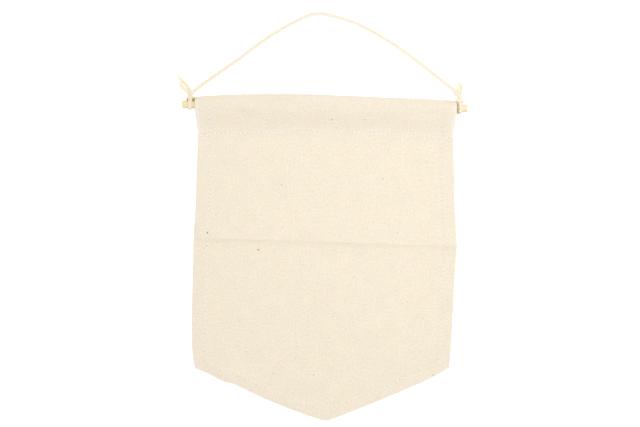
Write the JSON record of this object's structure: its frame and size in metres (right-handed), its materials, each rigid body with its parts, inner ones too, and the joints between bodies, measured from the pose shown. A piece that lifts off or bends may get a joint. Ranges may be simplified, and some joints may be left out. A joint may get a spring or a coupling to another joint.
{
  "type": "fabric bunting pennant with wooden dowel",
  "caption": "Blank canvas pennant with a pointed hemmed foot and a rod pocket on a wooden dowel, tied at its ends to a twisted cotton cord for hanging, lying face up.",
  "frame": {"origin": "middle of the box round the cloth and the dowel, on the surface that they lie on", "axes": "+Z out of the banner's face, +Y from the pointed foot towards the dowel and the cord, +X along the dowel"},
  "size_m": [0.2305, 0.3265, 0.0097],
  "materials": {
    "canvas": "matte plain-weave unbleached cotton canvas",
    "dowel_wood": "bare sanded pale wood",
    "cotton_cord": "matte soft twisted cotton"
  },
  "bodies": {
    "root": {"banner_cloth": "canvas", "dowel": "dowel_wood", "hanging_cord": "cotton_cord", "knot_left": "cotton_cord", "knot_right": "cotton_cord"}
  },
  "joints": []
}
